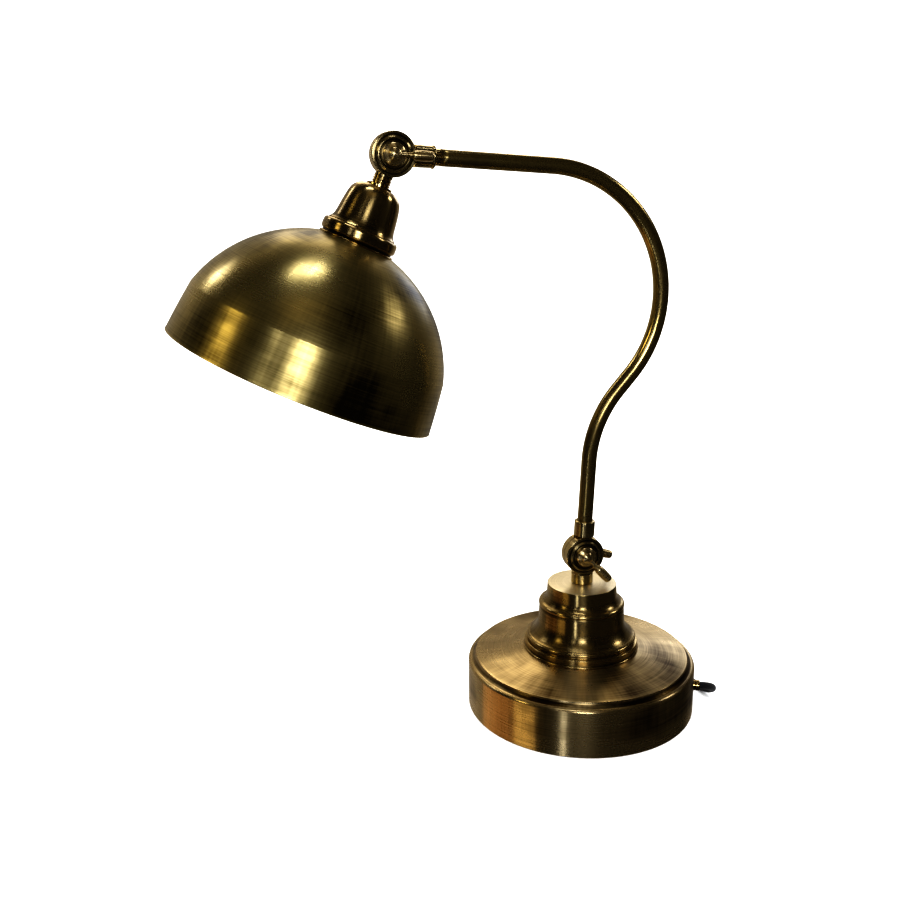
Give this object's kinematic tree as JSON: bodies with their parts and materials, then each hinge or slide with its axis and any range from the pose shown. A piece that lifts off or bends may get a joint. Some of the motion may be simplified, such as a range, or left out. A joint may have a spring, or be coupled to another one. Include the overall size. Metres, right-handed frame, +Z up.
{
  "type": "dome shade desk lamp",
  "caption": "Desk lamp with a round weighted base, a stepped collar, an S-bent arm clamped between lever knuckles, and a spun dome shade under a bell-shaped socket cup.",
  "frame": {"origin": "centre of the felt face that the base stands on", "axes": "+Z up along the base's axis; the arm bends in the XZ plane and carries the shade towards -X; the knuckles' screws run along Y, with the front levers at -Y"},
  "size_m": [0.4545, 0.3683, 0.4924],
  "materials": {
    "antique_brass": "spun and brushed brass with a dark antique patina",
    "bright_brass": "turned brass, lacquered",
    "iron": "rough casting with black primer",
    "zinc_steel": "zinc-plated steel",
    "bulb_metal": "thin nickel-plated cap",
    "felt": "dark green felt",
    "fibre": "pressed fibre, matte",
    "porcelain": "glazed white ceramic",
    "bulb_glass": "opal glass, smooth",
    "black_plastic": "fine-grained black plastic",
    "braid": "black textile braid over the flex"
  },
  "bodies": {
    "base": {"base_shell": "antique_brass", "base_weight": "iron", "bottom_plate": "zinc_steel", "felt_pad": "felt", "bottom_screws": "zinc_steel", "foot_ring": "antique_brass", "collar": "antique_brass", "centre_tube": "bright_brass", "centre_nut": "zinc_steel", "centre_washer": "zinc_steel", "cord_gland": "bright_brass", "gland_nut": "zinc_steel", "terminal_block": "porcelain", "lower_knuckle_base": "antique_brass", "cord_lead": "braid", "switch_base": "black_plastic", "switch_cover": "black_plastic", "cord_link": "braid", "cord_coil": "braid", "coil_tie": "black_plastic", "cord_tail": "braid", "plug_body": "black_plastic", "plug_pins": "zinc_steel"},
    "lower_front_lever": {"lower_lever_screw": "antique_brass"},
    "lower_rear_lever": {"lower_lever_nut": "antique_brass"},
    "arm": {"lower_knuckle_arm": "antique_brass", "lower_friction_washer": "fibre", "arm_tube": "antique_brass", "arm_cable": "black_plastic", "tube_adaptor": "bright_brass", "upper_knuckle_arm": "antique_brass", "upper_friction_washer": "fibre"},
    "head": {"upper_knuckle_head": "antique_brass", "stem_washer": "bright_brass", "stem_nut": "zinc_steel", "bell": "antique_brass", "gallery": "antique_brass", "dome_shade": "antique_brass", "shade_ring_nut": "bright_brass", "lampholder_cap": "bright_brass", "lampholder_body": "porcelain", "lampholder_shell": "bright_brass", "lampholder_contact": "bright_brass", "bulb_cap": "bulb_metal", "bulb_tip": "bulb_metal", "bulb_glass": "bulb_glass"},
    "upper_front_lever": {"upper_lever_screw": "antique_brass"},
    "upper_rear_lever": {"upper_lever_nut": "antique_brass"},
    "rocker": {"switch_rocker": "black_plastic"}
  },
  "joints": [
    {"name": "arm_tilt", "type": "hinge", "parent": "base", "child": "arm", "pos_m": [0, 0, 0.1401], "axis": [0, 1, 0], "range_deg": [-30, 45]},
    {"name": "shade_tilt", "type": "hinge", "parent": "arm", "child": "head", "pos_m": [-0.15956, 0, 0.47545], "axis": [0, 1, 0], "range_deg": [-35, 60]},
    {"name": "lower_front_lever_turn", "type": "hinge", "parent": "base", "child": "lower_front_lever", "pos_m": [0, 0, 0.1401], "axis": [0, 1, 0], "range_deg": [-90, 2]},
    {"name": "lower_rear_lever_turn", "type": "hinge", "parent": "base", "child": "lower_rear_lever", "pos_m": [0, 0, 0.1401], "axis": [0, 1, 0], "range_deg": [-90, 25]},
    {"name": "upper_front_lever_turn", "type": "hinge", "parent": "head", "child": "upper_front_lever", "pos_m": [-0.15956, 0, 0.47545], "axis": [0, 1, 0], "range_deg": [-60, 60]},
    {"name": "upper_rear_lever_turn", "type": "hinge", "parent": "head", "child": "upper_rear_lever", "pos_m": [-0.15956, 0, 0.47545], "axis": [0, 1, 0], "range_deg": [-60, 60]},
    {"name": "rocker_turn", "type": "hinge", "parent": "base", "child": "rocker", "pos_m": [0.107, 0.068, 0.009], "axis": [1, 0, 0], "range_deg": [-14, 0]}
  ]
}
